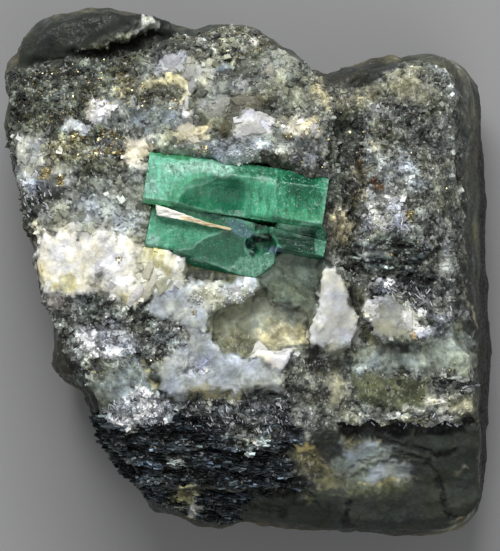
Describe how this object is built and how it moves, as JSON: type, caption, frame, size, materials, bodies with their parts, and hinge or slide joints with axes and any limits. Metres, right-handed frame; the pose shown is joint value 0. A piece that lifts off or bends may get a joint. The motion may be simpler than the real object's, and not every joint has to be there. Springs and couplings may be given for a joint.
{
  "type": "emerald in matrix mineral specimen",
  "caption": "Hand-sized mineral specimen: parallel emerald prisms seated in a block of black shale with white calcite and pyrite, lying on its flat back.",
  "frame": {"origin": "on the flat back, under the middle of the face that shows the emeralds", "axes": "+Z out of the face that shows the emeralds, +X to its right and +Y up it; the emerald prisms run along X"},
  "size_m": [0.0608, 0.0657, 0.0361],
  "materials": {
    "rock": "broken black shale veined with white calcite and grey quartz, specked with pyrite",
    "emerald": "translucent green beryl with veils, glassy on its prism faces and shell-shaped on its breaks"
  },
  "bodies": {
    "root": {"matrix": "rock", "emerald_upper": "emerald", "emerald_lower": "emerald"}
  },
  "joints": []
}
